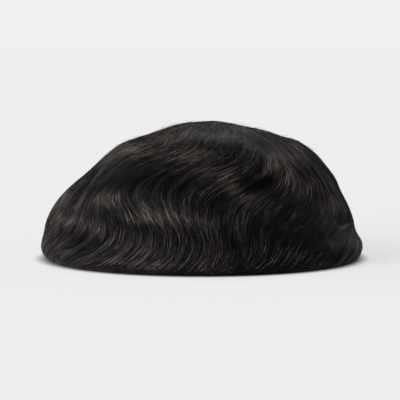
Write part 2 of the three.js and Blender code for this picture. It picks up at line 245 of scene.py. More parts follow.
# Strands: how many, how wide and long in millimetres, and how they gather in wisps
STRAND_POINTS = 8
LAYERS = 4
WISPS_IN_LAYER = 3375
STRANDS_IN_WISP = 4
STRAND_WIDTH = 0.24
STRAND_LENGTH = (22, 60)
CROWN_GAP = 0.004  # share of the way down that the highest roots are off the crown
WISP_RISE = 0.12  # share of the way down by which a wisp starts above its place
WISP_LIMITS = (CROWN_GAP, 0.9)
ROOT_LIMITS = (CROWN_GAP, 0.93)
WISP_SPREAD = 2.2
WISP_CLOSING = 0.2  # share of that spread that is gone at the tips
STRAY_CHANCE = 0.1
PALE_CHANCE = 0.03

# Along a strand, from its root at 0 to its tip at 1: depths in millimetres, and widths as shares
ROOT_SINK = 1.6
ROOT_WIDTH = 0.35
ROOT_END = 0.2
TAPER_START = 0.6
TIP_WIDTH = 0.2
TIP_SINK = 0.5
TIP_SINK_START = 0.85
SWAY_ANGLE = 5  # radians
GRAIN_STEP = 1.7  # from one strand to the next in the UV map, so that no two have the same grain

# Least values in millimetres: of the radius that a strand turns on, and of heights over the floor
TURNING_RADIUS = 6
WISP_TURNING_RADIUS = 12
STRAND_CLEARANCE = 0.3
EDGE_CLEARANCE = 0.2

# Tones run from the deepest, where shade is painted into the hair, through 0, plain hair, to 1, the palest,
# which pale strands and painted highlights reach toward
DEEPEST_TONE = -0.3
PLAIN_SHARE = -DEEPEST_TONE / (1 - DEEPEST_TONE)
# Painted highlight on the waves' crests and painted shade in their troughs
CREST_PAINTED_HIGHLIGHT = 0.14
TROUGH_PAINTED_SHADE = 0.1
# Painted shade in the folds between the masses
FOLD_SHADE = 0.35
STROKE_TONE = 0.23  # how much a strand's tone changes along it
CONTRAST_GROWTH = 1.5  # paler parts of the hair have more of that, within these limits
CONTRAST_RANGE = (0.4, 1.6)

# Colours at shares of that range, so painted shade and painted highlights as well as the hair's tone: the
# hair's own, then the tint of its shine
HAIR_COLOURS = [
    (0, (0.0016, 0.0015, 0.0016)),
    (PLAIN_SHARE, (0.0021, 0.002, 0.0021)),
    (0.5, (0.0052, 0.0046, 0.0046)),
    (1, (0.071, 0.055, 0.05)),
]
HAIR_TINTS = [
    (0, (0.05, 0.05, 0.055)),
    (PLAIN_SHARE, (0.19, 0.19, 0.2)),
    (1, (0.97, 0.83, 0.78)),
]
HAIR_ROUGHNESS = (0.32, 0.46)

# Short hairs that stand off the crown: each roots above a share of the way down drawn from this range
FLYAWAYS = 9000
FLYAWAY_TRIES = 4 * FLYAWAYS
FLYAWAY_POINTS = 4
FLYAWAY_REACH = (0.15, 0.5)
FLYAWAY_SINK = 0.6

# The crown: a whorl behind the top, and strands laid over the top from it, in millimetres
WHORL = np.array([50, 6])
WHORL_TWIST = 0.8
WHORL_REACH = 22
CROWN_STRANDS = 4400
CROWN_MIDDLE = np.array([14, 0])
CROWN_HALF = np.array([66, 40])
CROWN_LENGTH = (20, 46)
CROWN_SLOPE = 0.25  # share of the way out from which the strands begin to follow the dome's fall
HALVINGS = 14  # to find a place's share of the way down

# The cap's net
NET_CELLS = 900  # in a metre
NET_THREAD = (0.09, 0.065, 0.05)
NET_HOLE = (0.012, 0.009, 0.008)
THREAD_SHARE = 0.12
NET_RELIEF = 0.0003  # metres

# Camera: the photograph's frame is so wide at the hairpiece's middle, in metres
PHOTO_PIXELS = 400
MM_PER_PIXEL = 0.8424
FRAME_WIDTH = PHOTO_PIXELS * MM_PER_PIXEL * MM
CAMERA_DISTANCE = 1.25
CAMERA_ELEVATION = math.radians(6.4)
CENTRE_COLUMN = 201.75
FLOOR_ROW = 257
SENSOR = 36
CLIP_END = 20

# Lights: where each comes from (azimuth from the camera, positive to the right, and elevation, in
# degrees), how wide it is in degrees, how strong, and its colour
LIGHTS = {
    "low_key": (-50, 12, 30, 3.5, (1.0, 0.98, 0.97)),
    "key": (-62, 34, 30, 3.0, (1.0, 0.985, 0.98)),
    "side": (-112, 28, 40, 1.7, (1.0, 0.88, 0.83)),
    "back": (150, 64, 24, 0.6, (0.78, 0.88, 1.0)),
    "top": (0, 88, 40, 0.3, (0.95, 0.97, 1.0)),
}
SURROUND = 0.87

# The floor glows a little away from the hairpiece, painted light that evens out the shadows cast on it,
# rising from one to another share of its half length and width; nearer the hairpiece it doesn't glow, a
# painted shadow round its foot
FLOOR_SHADE = 0.11
FLOOR_GLOW = 0.62
GLOW_REACH = (0.95, 1.06)
FLOOR_REACH = 60.0  # metres to each side


def smooth(low, high, value):
    """0 below low, 1 above high, and an easy rise between them."""
    t = np.clip((value - low) / (high - low), 0, 1)
    return t * t * (3 - 2 * t)


def fuller(value, fullness):
    """A cosine or sine bent so that an ellipse made from it becomes squarer."""
    return np.sign(value) * np.abs(value) ** (2 / fullness)


def meridian(reach, column):
    """Share of the reach and rise at each share of the way down one side of the dome."""
    points = np.column_stack([PROFILE[:, column] * reach, PROFILE[:, 0] * HAIR_HEIGHT])
    ends = np.vstack([points[:1], points, points[-1:]])
    t = np.linspace(0, 1, MERIDIAN_STEPS, endpoint=False)[:, None]
    pieces = []
    for a, b, c, d in zip(ends, ends[1:], ends[2:], ends[3:]):
        v0, v1 = (c - a) / 2, (d - b) / 2
        pieces.append((2 * b - 2 * c + v0 + v1) * t**3 + (3 * c - 3 * b - 2 * v0 - v1) * t**2 + v0 * t + b)
    line = np.vstack(pieces + [points[-1:]])
    length = np.concatenate([[0], np.cumsum(np.linalg.norm(np.diff(line, axis=0), axis=1))])
    return length / length[-1], line[:, 0] / reach, line[:, 1]


FRONT = meridian(HAIR_LENGTH / 2 + CROWN_BACK, 1)
SIDE = meridian(HAIR_WIDTH / 2, 2)
BACK = meridian(HAIR_LENGTH / 2 - CROWN_BACK, 3)


def dome_point(azimuth, down):
    """The smooth dome at azimuths (radians, from the front) and shares of the way down."""
    cosine = np.cos(azimuth)
    lengthwise = cosine**2
    out = np.zeros(np.broadcast(azimuth, down).shape)
    rise = np.zeros_like(out)
    weights = (FRONT, np.where(cosine > 0, lengthwise, 0)), (BACK, np.where(cosine > 0, 0, lengthwise))
    for (shares, outs, rises), weight in (*weights, (SIDE, 1 - lengthwise)):
        out += weight * np.interp(down, shares, outs)
        rise += weight * np.interp(down, shares, rises)
    edge_x = -HAIR_LENGTH / 2 * fuller(cosine, HAIR_FULLNESS)
    edge_y = -HAIR_WIDTH / 2 * fuller(np.sin(azimuth), HAIR_FULLNESS)
    return np.stack([CROWN_BACK + (edge_x - CROWN_BACK) * out, edge_y * out, rise], -1)


def wave_at(azimuth):
    """The turns and the leans at azimuths, as one smooth round."""
    rows = np.vstack([WAVE[-2:], WAVE, WAVE[:3]])
    rows[:2, 0] -= 360
    rows[-3:, 0] += 360
    at, values = rows[:, 0], rows[:, 1:]
    degrees = np.degrees(azimuth) % 360
    k = np.clip(np.searchsorted(at, degrees, side="right") - 1, 1, len(at) - 3)
    span = (at[k + 1] - at[k])[..., None]
    t = (degrees - at[k])[..., None] / span
    slope_in = (values[k + 1] - values[k - 1]) / (at[k + 1] - at[k - 1])[..., None] * span
    slope_out = (values[k + 2] - values[k]) / (at[k + 2] - at[k])[..., None] * span
    return (
        (2 * t**3 - 3 * t**2 + 1) * values[k]
        + (t**3 - 2 * t**2 + t) * slope_in
        + (-2 * t**3 + 3 * t**2) * values[k + 1]
        + (t**3 - t**2) * slope_out
    )


def between_turns(turns, down):
    """Which two turns a place lies between, and its share of the way from one to the next."""
    last = turns.shape[-1] - 2
    k = np.clip(sum((down > turns[..., i]).astype(int) for i in range(1, last + 1)), 0, last)[..., None]
    low, high = np.take_along_axis(turns, k, -1)[..., 0], np.take_along_axis(turns, k + 1, -1)[..., 0]
    return k, np.clip((down - low) / (high - low), 0, 1)


def wave_crest(turns, down):
    """1 where strands lean most toward the back, which is the wave's crest, and -1 in its troughs."""
    k, part = between_turns(turns, down)
    return -np.cos(math.pi * (k[..., 0] + part))


def wave_lean(turns, leans, down):
    """How strands lean from the straight way down, as a slope toward the back."""
    k, part = between_turns(turns, down)
    before, after = np.take_along_axis(leans, k, -1)[..., 0], np.take_along_axis(leans, k + 1, -1)[..., 0]
    return before + (after - before) * (1 - np.cos(math.pi * part)) / 2


class Dome:
    """The dome's fields on a grid: its surface with the locks cut in, its normals and its flow."""

    def __init__(self):
        self.azimuths = np.arange(GRID_ROUND) * TURN / GRID_ROUND
        self.shares = np.linspace(0, 1, GRID_DOWN + 1)
        azimuth, down = np.meshgrid(self.azimuths, self.shares, indexing="ij")
        point = dome_point(azimuth, down)
        step = 1e-3
        low, high = np.clip(down - step, 0, 1), np.clip(down + step, 0, 1)
        around = (dome_point(azimuth + step, down) - dome_point(azimuth - step, down)) / (2 * step)
        along = (dome_point(azimuth, high) - dome_point(azimuth, low)) / (high - low)[..., None]
        # The ring at the crown has no length, so it counts as half of the next
        around[:, 0] = around[:, 1] * 0.5
        normal = self.unit(np.cross(along, around))
        self.along = np.linalg.norm(along, axis=-1)
        self.around = np.linalg.norm(around, axis=-1)
        turns, leans = np.split(wave_at(azimuth), 2, axis=-1)
        crest = wave_crest(turns, down)
        calm = smooth(0, CROWN_CALM, down)
        self.lean = wave_lean(turns, leans, down) * calm
        self.turn = self.lean * self.along / self.around
        self.follow_locks()
        trough = SWELL_DEPTH * (1 - ((1 + crest) / 2) ** CREST_SHARPNESS) * calm
        above = 1 - smooth(*RIM_FADE, down)
        fold = self.fold_depth(azimuth, down)
        self.cut = self.grooves(down) + (trough + fold) * above
        # Painted highlight along the waves' crests and painted shade in their troughs
        painted_band = CREST_PAINTED_HIGHLIGHT * np.maximum(crest, 0) ** 3 - TROUGH_PAINTED_SHADE * np.maximum(-crest, 0)
        # Painted shade in the folds
        self.shade = painted_band * calm - FOLD_SHADE * fold / FOLD_DEPTH
        # Patches of the hair's own tone and of painted highlights and painted shade
        for at_azimuth, at_down, reach_round, reach_down, tone in TONE_AND_PAINTED_LIGHT:
            round_by = ((np.degrees(azimuth) - at_azimuth + 180) % 360 - 180) / reach_round
            down_by = (down - at_down) / reach_down
            self.shade += tone * np.exp(-(round_by**2) - down_by**2)
        self.point = point - normal * self.cut[..., None]
        across = np.roll(self.point, -1, 0) - np.roll(self.point, 1, 0)
        downward = np.gradient(self.point, axis=1)
        self.normal = self.unit(np.cross(downward, across))
        self.normal[:, 0] = normal[:, 1].mean(0)

    @staticmethod
    def unit(vectors):
        """The same ways, one long."""
        return vectors / np.maximum(np.linalg.norm(vectors, axis=-1, keepdims=True), 1e-9)

    def follow_locks(self):
        """How far round each place's strand starts, and how wide the locks are there against even ones."""
        shift = np.zeros((GRID_ROUND, GRID_DOWN + 1))
        even = round(START_SHARE * GRID_DOWN)
        for rings, way in ((range(even - 1, -1, -1), 1), (range(even + 1, GRID_DOWN + 1), -1)):
            for j in rings:
                moved = self.turn[:, j] * way / GRID_DOWN
                half = np.interp(self.azimuths + moved / 2, self.azimuths, self.turn[:, j], period=TURN)
                moved = half * way / GRID_DOWN
                before = np.interp(self.azimuths + moved, self.azimuths, shift[:, j + way], period=TURN)
                shift[:, j] = moved + before
        starts = self.azimuths[:, None] + shift
        spread = 1 / np.clip(1 + np.gradient(shift, axis=0) * GRID_ROUND / TURN, *FAN_LIMITS)
        probed = range(0, GRID_DOWN + 1, PROBE_STEP)
        squares = [np.interp(self.azimuths, starts[:, j], spread[:, j], period=TURN) ** 2 for j in probed]
        fans = np.sqrt(np.mean(squares, axis=0))
        passed = np.concatenate([[0], np.cumsum(fans)]) * TURN / fans.sum()
        self.starts = np.linspace(0, TURN, GRID_ROUND + 1), passed
        self.place = np.interp(starts % TURN, *self.starts)
        self.spread = spread * fans.mean() / np.interp(starts, self.azimuths, fans, period=TURN)

    def grooves(self, down):
        """How deep the grooves between the locks are at each place."""
        place = (self.place / TURN * LOCK_COUNT) % LOCK_COUNT
        lock = np.floor(place)
        columns = len(LOCK_SECTION)
        section = np.interp(place - lock, np.arange(columns + 1) / columns, [*LOCK_SECTION, LOCK_SECTION[0]])
        nearest = np.round(place) % LOCK_COUNT
        uneven = 1 + LOCK_UNEVENNESS * np.sin(LOCK_RHYTHM * nearest)
        depth = LOCK_DEPTH * np.clip(self.spread, *LOCK_SPREAD)
        run_out = 1 - (1 - TIP_DEPTH) * smooth(RIM_FADE[0], 1, down)
        knots = random.uniform(*GROOVE_SHARE, (LOCK_COUNT, GROOVE_KNOTS))
        at = down * (GROOVE_KNOTS - 1)
        low = np.minimum(np.floor(at).astype(int), GROOVE_KNOTS - 2)
        part = smooth(0, 1, at - low)
        boundary = nearest.astype(int)
        kept = knots[boundary, low] * (1 - part) + knots[boundary, low + 1] * part
        return depth * section * uneven * smooth(0, CROWN_LOCKS_REACH, down) * run_out * kept

    def fold_depth(self, azimuth, down):
        """How deep the folds between the larger masses are at each place."""
        degrees = np.degrees(azimuth)
        across = self.around * TURN / 360
        deepest = np.zeros_like(down)
        for azimuth_a, down_a, azimuth_b, down_b, depth, width in FOLDS:
            run_x, run_y = (azimuth_b - azimuth_a) * across, (down_b - down_a) * self.along
            x, y = (degrees - azimuth_a) * across, (down - down_a) * self.along
            t = np.clip((x * run_x + y * run_y) / (run_x**2 + run_y**2), 0, 1)
            distance = np.hypot(x - t * run_x, y - t * run_y)
            fold = FOLD_DEPTH * depth * np.exp(-((distance / (FOLD_WIDTH * width)) ** 2))
            deepest = np.maximum(deepest, fold)
        return deepest

    def at(self, field, azimuth, down):
        """A field between the grid's places."""
        i = (azimuth / TURN * GRID_ROUND) % GRID_ROUND
        j = np.clip(down, 0, 1) * GRID_DOWN
        i0, j0 = np.floor(i).astype(int) % GRID_ROUND, np.minimum(np.floor(j).astype(int), GRID_DOWN - 1)
        i1, j1 = (i0 + 1) % GRID_ROUND, j0 + 1
        fi, fj = i - np.floor(i), j - j0
        if field.ndim == 3:
            fi, fj = fi[..., None], fj[..., None]
        return (
            field[i0, j0] * (1 - fi) * (1 - fj)
            + field[i1, j0] * fi * (1 - fj)
            + field[i0, j1] * (1 - fi) * fj
            + field[i1, j1] * fi * fj
        )


dome = Dome()


def new_mesh(name, points, faces, uvs, tones, material):
    """One object from arrays of any shape: points in millimetres, faces of four, UVs and tones by point."""
    mesh = bpy.data.meshes.new(name)
    mesh.vertices.add(points.size // 3)
    mesh.vertices.foreach_set("co", (points * MM).astype(np.float32).ravel())
    mesh.loops.add(faces.size)
    mesh.loops.foreach_set("vertex_index", faces.astype(np.int32).ravel())
    mesh.polygons.add(faces.size // 4)
    mesh.polygons.foreach_set("loop_start", np.arange(0, faces.size, 4, dtype=np.int32))
    layer = mesh.uv_layers.new(name="strand")
    layer.uv.foreach_set("vector", uvs.reshape(-1, 2)[faces.ravel()].astype(np.float32).ravel())
    tone = mesh.attributes.new("tone", "FLOAT", "POINT")
    tone.data.foreach_set("value", tones.astype(np.float32).ravel())
    mesh.update()
    mesh.validate()
    mesh.polygons.foreach_set("use_smooth", np.ones(len(mesh.polygons), dtype=bool))
    mesh.materials.append(material)
    piece = bpy.data.objects.new(name, mesh)
    bpy.context.scene.collection.objects.link(piece)
    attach(piece, "root")
    return piece


def tone_ramp(nodes, stops):
    """A ramp through colours at shares of the tones' range, the first share 0 and the last 1."""
    ramp = nodes.new("ShaderNodeValToRGB")
    elements = ramp.color_ramp.elements
    elements[0].color = (*stops[0][1], 1)
    elements[1].color = (*stops[-1][1], 1)
    for share, colour in stops[1:-1]:
        elements.new(share).color = (*colour, 1)
    return ramp


def hair_material():
    """Dark strands with a warm sheen along them; tone runs from near black to brown."""
    material = bpy.data.materials.new("hair")
    material.use_nodes = True
    nodes, links = material.node_tree.nodes, material.node_tree.links
    shader = nodes["Principled BSDF"]
    shader.inputs["Anisotropic"].default_value = 0.8
    shader.inputs["IOR"].default_value = 1.33
    shader.inputs["Specular IOR Level"].default_value = 0.36
    shader.inputs["Sheen Weight"].default_value = 0.05
    shader.inputs["Sheen Roughness"].default_value = 0.35
    shader.inputs["Sheen Tint"].default_value = (1.0, 0.82, 0.78, 1)
    tangent = nodes.new("ShaderNodeTangent")
    tangent.direction_type = "UV_MAP"
    tangent.uv_map = "strand"
    links.new(tangent.outputs["Tangent"], shader.inputs["Tangent"])
    tone = nodes.new("ShaderNodeAttribute")
    tone.attribute_name = "tone"
    share = nodes.new("ShaderNodeMapRange")
    share.inputs["From Min"].default_value = DEEPEST_TONE
    links.new(tone.outputs["Fac"], share.inputs["Value"])
    for stops, socket in ((HAIR_COLOURS, "Base Color"), (HAIR_TINTS, "Specular Tint")):
        ramp = tone_ramp(nodes, stops)
        links.new(share.outputs["Result"], ramp.inputs["Fac"])
        links.new(ramp.outputs["Color"], shader.inputs[socket])
    uv = nodes.new("ShaderNodeUVMap")
    uv.uv_map = "strand"
    stretch = nodes.new("ShaderNodeMapping")
    stretch.inputs["Scale"].default_value = (3.0, 0.25, 1.0)
    grain = nodes.new("ShaderNodeTexNoise")
    grain.inputs["Scale"].default_value = 1.0
    grain.inputs["Detail"].default_value = 3.0
    links.new(uv.outputs["UV"], stretch.inputs["Vector"])
    links.new(stretch.outputs["Vector"], grain.inputs["Vector"])
    rough = nodes.new("ShaderNodeMapRange")
    rough.inputs["To Min"].default_value, rough.inputs["To Max"].default_value = HAIR_ROUGHNESS
    links.new(grain.outputs["Fac"], rough.inputs["Value"])
    links.new(rough.outputs["Result"], shader.inputs["Roughness"])
    return material


def follow(azimuth, down, points, step):
    """Paths of strands from where they start, one row each: azimuths and shares down."""
    path = [(azimuth, down)]
    for _ in range(points - 1):
        for _ in range(2):
            lean = dome.at(dome.lean, azimuth, down)
            share = step / 2 / (dome.at(dome.along, azimuth, down) * np.sqrt(1 + lean**2))
            half_azimuth = azimuth + dome.at(dome.turn, azimuth, down) * share / 2
            azimuth = azimuth + dome.at(dome.turn, half_azimuth, np.minimum(down + share / 2, 1)) * share
            down = down + share
        path.append((azimuth, down))
    return tuple(np.stack(values, 1) for values in zip(*path))


def coat_paths(shares):
    """Azimuths of the undercoat's columns at each ring's share of the way down, along the flow."""
    even = np.interp(np.arange(COAT_COLUMNS) * TURN / COAT_COLUMNS, *reversed(dome.starts))
    paths = np.zeros((COAT_COLUMNS, COAT_RINGS))
    for ring, share in enumerate(shares):
        azimuth, down = even.copy(), START_SHARE
        change = (share - START_SHARE) / COAT_PATH_STEPS
        for _ in range(COAT_PATH_STEPS):
            half = azimuth + dome.at(dome.turn, azimuth, np.full(COAT_COLUMNS, down)) * change / 2
            azimuth = azimuth + dome.at(dome.turn, half, np.full(COAT_COLUMNS, down + change / 2)) * change
            down += change
        paths[:, ring] = azimuth
    return paths


def coat_streaks():
    """Random streaks along the undercoat's columns, some as fine as a column and some broader."""
    noise = random.normal(size=(COAT_COLUMNS, COAT_STREAK_KNOTS))
    broad = sum(np.roll(noise, columns, 0) for columns in range(4)) / 2
    mixed = FINE_STREAK * random.normal(size=noise.shape) + BROAD_STREAK * broad
    at = np.linspace(0, COAT_STREAK_KNOTS - 1, COAT_RINGS)
    low = np.minimum(np.floor(at).astype(int), COAT_STREAK_KNOTS - 2)
    part = smooth(0, 1, at - low)
    return mixed[:, low] * (1 - part) + mixed[:, low + 1] * part


def coat_inside(rim):
    """The undercoat's rings within its tips: the flat that it rests on, then the hollow over the cap."""
    tip = dome_point(rim, np.ones(COAT_COLUMNS))
    size = np.hypot(tip[:, 0], tip[:, 1])
    rings = []
    for inset in (SOLE_INSET, SOLE_INSET + SOLE_WIDTH):
        rings.append(tip * ((size - inset) / size)[:, None] * [1, 1, 0])
    cosine, sine = fuller(np.cos(rim), CAP_FULLNESS), fuller(np.sin(rim), CAP_FULLNESS)
    for share in np.linspace(1, CAP_LAST_RING, CAP_RINGS):
        slope = share * math.pi / 2
        out = fuller(math.sin(slope), CAP_FULLNESS)
        rings.append(np.stack([
            -(CAP_LENGTH / 2 + SEAT_GAP) * cosine * out,
            -(CAP_WIDTH / 2 + SEAT_GAP) * sine * out,
            np.full(COAT_COLUMNS, CAP_LIFT + (CAP_RISE + SEAT_GAP) * fuller(math.cos(slope), CAP_FULLNESS)),
        ], -1))
    return np.stack(rings, 1)


def undercoat(material):
    """The combed mass under the strands: a hollow wall of the CAD's shape with fine streaks in it."""
    shares = 1 - (1 - np.linspace(CROWN_GAP, 1, COAT_RINGS)) ** COAT_CROWDING
    paths = coat_paths(shares)
    down = np.broadcast_to(shares, paths.shape)
    streak = coat_streaks()
    fade = smooth(0, COAT_FADE[0], down) * (1 - smooth(COAT_FADE[1], 1, down))
    raised = (COAT_STREAK * streak - COAT_SINK) * fade
    outer = dome.at(dome.point, paths, down) + dome.at(dome.normal, paths, down) * raised[..., None]
    points = np.concatenate([outer, coat_inside(paths[:, -1])], 1)
    count = points.shape[1]
    i, j = np.meshgrid(np.arange(COAT_COLUMNS), np.arange(count - 1), indexing="ij")
    following = (i + 1) % COAT_COLUMNS
    faces = np.stack([i * count + j + 1, following * count + j + 1, following * count + j, i * count + j], -1)
    uvs = np.stack(np.meshgrid(np.arange(COAT_COLUMNS) * 1.0, np.arange(count) * 1.0, indexing="ij"), -1)
    tones = np.full((COAT_COLUMNS, count), INSIDE_TONE)
    tones[:, :COAT_RINGS] = np.clip(COAT_TONE + COAT_TONE_STREAK * streak, 0, 1)
    piece = new_mesh("hair_undercoat", points, faces, uvs, tones, material)
    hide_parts("hair")


def even_places(count):
    """Places spread evenly over the dome's area."""
    weight = dome.along * dome.around
    chance = np.cumsum(weight.ravel())
    picked = np.searchsorted(chance, random.random(count) * chance[-1])
    i, j = np.unravel_index(picked, weight.shape)
    azimuth = (i + random.random(count)) * TURN / GRID_ROUND
    return azimuth, np.clip((j + random.random(count) - 0.5) / GRID_DOWN, 0.001, 1)


def place_of(x, y):
    """Where on the dome a place in plan lies: its azimuth and share of the way down."""
    edge = dome_point(dome.azimuths, np.ones(GRID_ROUND))
    edge = (edge - [CROWN_BACK, 0, 0]) / PROFILE[-1, 1:].mean()
    angles = np.unwrap(np.arctan2(-edge[:, 1], -edge[:, 0]))
    angle = np.arctan2(-y, CROWN_BACK - x) % TURN
    azimuth = np.interp(angle, angles, dome.azimuths, period=TURN)
    low, high = np.zeros_like(x), np.ones_like(x)
    reach = np.hypot(x - CROWN_BACK, y)
    for _ in range(HALVINGS):
        middle = (low + high) / 2
        point = dome_point(azimuth, middle)
        inside = np.hypot(point[..., 0] - CROWN_BACK, point[..., 1]) < reach
        low, high = np.where(inside, middle, low), np.where(inside, high, middle)
    return azimuth, (low + high) / 2


def comb_over(place, points, step, sway):
    """Paths of strands laid over the crown, away from the whorl and then down the dome's slope."""
    path = []
    for k in range(points):
        path.append(place_of(*place.T))
        away = place - WHORL
        near = np.exp(-np.linalg.norm(away, axis=-1) / WHORL_REACH)[:, None]
        away = dome.unit(away + WHORL_TWIST * near * away[:, ::-1] * [-1, 1])
        fall = dome.unit((place - [CROWN_BACK, 0]) / [HAIR_LENGTH**2, HAIR_WIDTH**2])
        out = smooth(CROWN_SLOPE, 1, np.linalg.norm((place - CROWN_MIDDLE) / CROWN_HALF, axis=-1))[:, None]
        way = dome.unit(away * (1 - out) + fall * out)
        way = way + way[:, ::-1] * [-1, 1] * (sway * math.sin(k))[:, None]
        place = place + way * step[:, None]
    return tuple(np.stack(values, 1) for values in zip(*path))


def strand_lines(strands, azimuths, downs, t, root_sink):
    """The strands' middle lines in millimetres, sunk at both ends, and the dome's normals along them."""
    past = np.maximum(downs - 1, 0)
    downs = np.minimum(downs, 1)
    points = dome.at(dome.point, azimuths, downs)
    normals = dome.unit(dome.at(dome.normal, azimuths, downs))
    rise = strands["height"][:, None] - root_sink * (1 - smooth(0, ROOT_END, t))
    rise = rise - TIP_SINK * smooth(TIP_SINK_START, 1, t) + strands["lift"][:, None] * t**2
    points = points + normals * rise[..., None]
    inward = points * [-1, -1, 0]
    inward /= np.maximum(np.linalg.norm(inward, axis=-1, keepdims=True), 1)
    points = points + inward * (past * dome.at(dome.along, azimuths, downs))[..., None]
    points[..., 2] = np.maximum(points[..., 2], STRAND_CLEARANCE)
    return points, normals


def strand_edges(strands, points, normals, t):
    """Both edges of each ribbon along its middle line, widest between root and tip."""
    along = dome.unit(np.gradient(points, axis=1))
    aside_way = dome.unit(np.cross(along, normals))
    out_way = np.cross(aside_way, along)
    roll = strands["roll"][:, None, None]
    turned = aside_way * np.cos(roll) + out_way * np.sin(roll)
    width = ROOT_WIDTH + (1 - ROOT_WIDTH) * smooth(0, ROOT_END, t)
    width = width - (1 - TIP_WIDTH) * smooth(TAPER_START, 1, t)
    half = turned * (strands["width"][:, None] * width / 2)[..., None]
    pairs = np.stack([points - half, points + half], 2)
    pairs[..., 2] = np.maximum(pairs[..., 2], EDGE_CLEARANCE)
    return pairs


def strand_tones(strands, azimuths, downs):
    """Tones along each strand: its own, changing in random strokes, and the painted highlights, painted shade
    and tone patches at that place.
    """
    count, points_each = azimuths.shape
    draws = random.exponential(1, (count, points_each + 1)) - 1
    shade = dome.at(dome.shade, azimuths, downs)
    # Strokes show more where highlights or paler tone are painted, less in painted shade
    contrast = np.clip(1 + CONTRAST_GROWTH * shade, *CONTRAST_RANGE)
    tones = (strands["tone"][:, None] + STROKE_TONE * (draws[:, 1:] + draws[:, :-1])) * contrast + shade
    return np.clip(tones, DEEPEST_TONE, 1)


def ribbons(name, strands, material, root_sink=ROOT_SINK, paths=None, points_each=STRAND_POINTS):
    """Strands as tapered ribbons on the dome; strands holds arrays with a value for each."""
    length = strands["length"]
    count = len(length)
    if paths is None:
        paths = follow(strands["azimuth"], strands["down"], points_each, length / (points_each - 1))
    azimuths, downs = paths
    t = np.linspace(0, 1, points_each)
    radius = np.maximum(dome.at(dome.around, azimuths, downs), TURNING_RADIUS)
    closing = -strands["aside"][:, None] * strands["closing"][:, None] * t
    phase = strands["phase"][:, None]
    sway = strands["sway"][:, None] * (np.sin(phase + SWAY_ANGLE * t) - np.sin(phase))
    azimuths = azimuths + (closing + sway + strands["stray"][:, None] * t) / radius
    points, normals = strand_lines(strands, azimuths, downs, t, root_sink)
    pairs = strand_edges(strands, points, normals, t)
    first = (np.arange(count) * points_each * 2)[:, None] + np.arange(points_each - 1) * 2
    faces = np.stack([first, first + 1, first + 3, first + 2], -1)
    uvs = np.zeros((count, points_each, 2, 2))
    uvs[..., 1, 0] = 1
    uvs[..., 0] += (np.arange(count) * GRAIN_STEP)[:, None, None]
    uvs[..., 1] = t[None, :, None] * (length / 2)[:, None, None]
    tones = np.repeat(strand_tones(strands, azimuths, downs), 2)
    new_mesh(name, pairs, faces, uvs, tones, material)


def straight(count):
    """Strands that don't lift, gather, sway or stray."""
    return {way: np.zeros(count) for way in ("lift", "aside", "closing", "sway", "phase", "stray")}


def strand_layer(number, material):
    """One layer of wisps: strands that start side by side and close up toward their tips."""
    count = WISPS_IN_LAYER * STRANDS_IN_WISP
    azimuth, down = even_places(WISPS_IN_LAYER)
    down = np.clip(down - WISP_RISE, *WISP_LIMITS)
    wisp = np.repeat(np.arange(WISPS_IN_LAYER), STRANDS_IN_WISP)
    azimuth, down = azimuth[wisp], down[wisp]
    aside = random.normal(0, WISP_SPREAD, count)
    radius = np.maximum(dome.at(dome.around, azimuth, down), WISP_TURNING_RADIUS)
    strays = random.random(count) < STRAY_CHANCE
    pale = random.random(count) < PALE_CHANCE
    tone = random.normal(0.07, 0.04, WISPS_IN_LAYER)[wisp] + random.normal(0, 0.16, count)
    strands = {
        "azimuth": azimuth + aside / radius,
        "down": np.clip(down + random.normal(0, 0.03, count), *ROOT_LIMITS),
        "length": random.uniform(*STRAND_LENGTH, WISPS_IN_LAYER)[wisp] * random.uniform(0.8, 1.15, count),
        "height": np.where(pale, random.uniform(0.3, 0.8, count), random.uniform(-0.6, 0.6, count)),
        "lift": np.where(strays, 0.6, 0.0) * random.random(count),
        "width": STRAND_WIDTH * random.uniform(0.7, 1.3, count) * np.where(pale, 0.85, 1.0),
        "aside": aside,
        "closing": WISP_CLOSING * random.uniform(0.5, 1.3, count),
        "sway": random.normal(0, 0.4, count),
        "phase": random.uniform(0, TURN, count),
        "stray": random.normal(0, 1.3, count) * np.where(strays, 4.0, 1.0),
        "roll": random.normal(0, 0.4, count),
        "tone": tone + np.where(pale, random.uniform(0.1, 0.45, count), 0.0),
    }
    ribbons(f"hair_layer_{number}", strands, material)


def crown_strands(material):
    """Strands from the whorl, laid over the top and down toward both sides."""
    count = CROWN_STRANDS
    turned = random.uniform(0, TURN, count)
    out = np.sqrt(random.random(count))
    place = CROWN_MIDDLE + CROWN_HALF * 0.9 * np.stack([np.cos(turned) * out, np.sin(turned) * out], -1)
    length = random.uniform(*CROWN_LENGTH, count)
    pale = random.random(count) < PALE_CHANCE
    paths = comb_over(place, STRAND_POINTS, length / (STRAND_POINTS - 1), random.normal(0, 0.07, count))
    strands = straight(count) | {
        "length": length,
        "height": random.uniform(-0.2, 0.9, count),
        "width": STRAND_WIDTH * random.uniform(0.7, 1.2, count),
        "roll": random.normal(0, 0.4, count),
        "tone": random.normal(-0.02, 0.2, count) + np.where(pale, 0.35, 0.0),
    }
    ribbons("hair_crown", strands, material, paths=paths)


